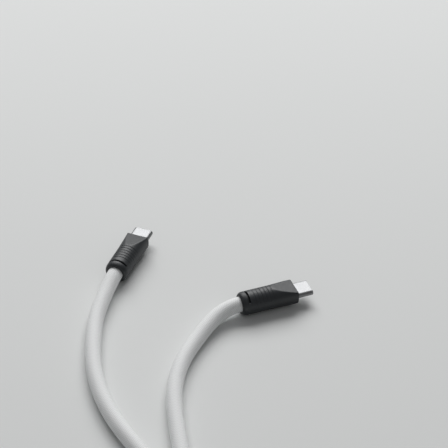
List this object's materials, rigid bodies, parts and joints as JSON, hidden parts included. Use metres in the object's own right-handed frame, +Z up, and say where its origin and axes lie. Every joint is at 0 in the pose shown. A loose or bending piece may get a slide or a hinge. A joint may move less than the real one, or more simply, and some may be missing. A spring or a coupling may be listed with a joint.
{
  "type": "charging cable",
  "caption": "White braided charging cable, 1 m long and 6.4 mm thick, with a dark grey USB-C plug on each end.",
  "frame": {"origin": "bottom centre of the box round the two plugs, on the surface that they rest on", "axes": "+Z up, +Y the way the device plug goes into its port; the host plug points 42 degrees from +X towards +Y"},
  "size_m": [0.0919, 0.2569, 0.0127],
  "materials": {
    "grey_housing": "satin moulded",
    "steel": "brushed",
    "black_insulator": "matte",
    "gold_contact": "gold plated",
    "green_board": "solder mask",
    "chip_black": "matte",
    "ceramic_tan": "matte",
    "solder": "bright",
    "inner_mould": "matte",
    "copper_braid": "woven",
    "wire_red": "satin",
    "wire_black": "satin",
    "wire_green_white": "satin",
    "wire_blue": "satin",
    "jacket_white": "matte",
    "braided_sleeve": "fine woven"
  },
  "bodies": {
    "root": {"device_housing": "grey_housing", "device_connector_shell": "steel", "device_insulator": "black_insulator", "device_upper_contacts": "gold_contact", "device_lower_contacts": "gold_contact", "device_latch_plate": "steel", "device_ground_springs": "steel", "device_circuit_board": "green_board", "device_marker_chip": "chip_black", "device_capacitors": "ceramic_tan", "device_solder_joints": "solder", "device_shield_can": "steel", "device_inner_mould": "inner_mould", "device_crimp_ferrule": "steel", "device_shield_braid": "copper_braid", "device_power_wire": "wire_red", "device_ground_wire": "wire_black", "device_data_wires": "wire_green_white", "device_config_wire": "wire_blue", "device_jacket_end": "jacket_white", "device_sleeve_end": "braided_sleeve", "host_housing": "grey_housing", "host_connector_shell": "steel", "host_insulator": "black_insulator", "host_upper_contacts": "gold_contact", "host_lower_contacts": "gold_contact", "host_latch_plate": "steel", "host_ground_springs": "steel", "host_circuit_board": "green_board", "host_marker_chip": "chip_black", "host_capacitors": "ceramic_tan", "host_solder_joints": "solder", "host_shield_can": "steel", "host_inner_mould": "inner_mould", "host_crimp_ferrule": "steel", "host_shield_braid": "copper_braid", "host_power_wire": "wire_red", "host_ground_wire": "wire_black", "host_data_wires": "wire_green_white", "host_config_wire": "wire_blue", "host_jacket_end": "jacket_white", "host_sleeve_end": "braided_sleeve", "cable_device_side": "braided_sleeve", "cable_host_side": "braided_sleeve", "cable_coil": "braided_sleeve"}
  },
  "joints": []
}
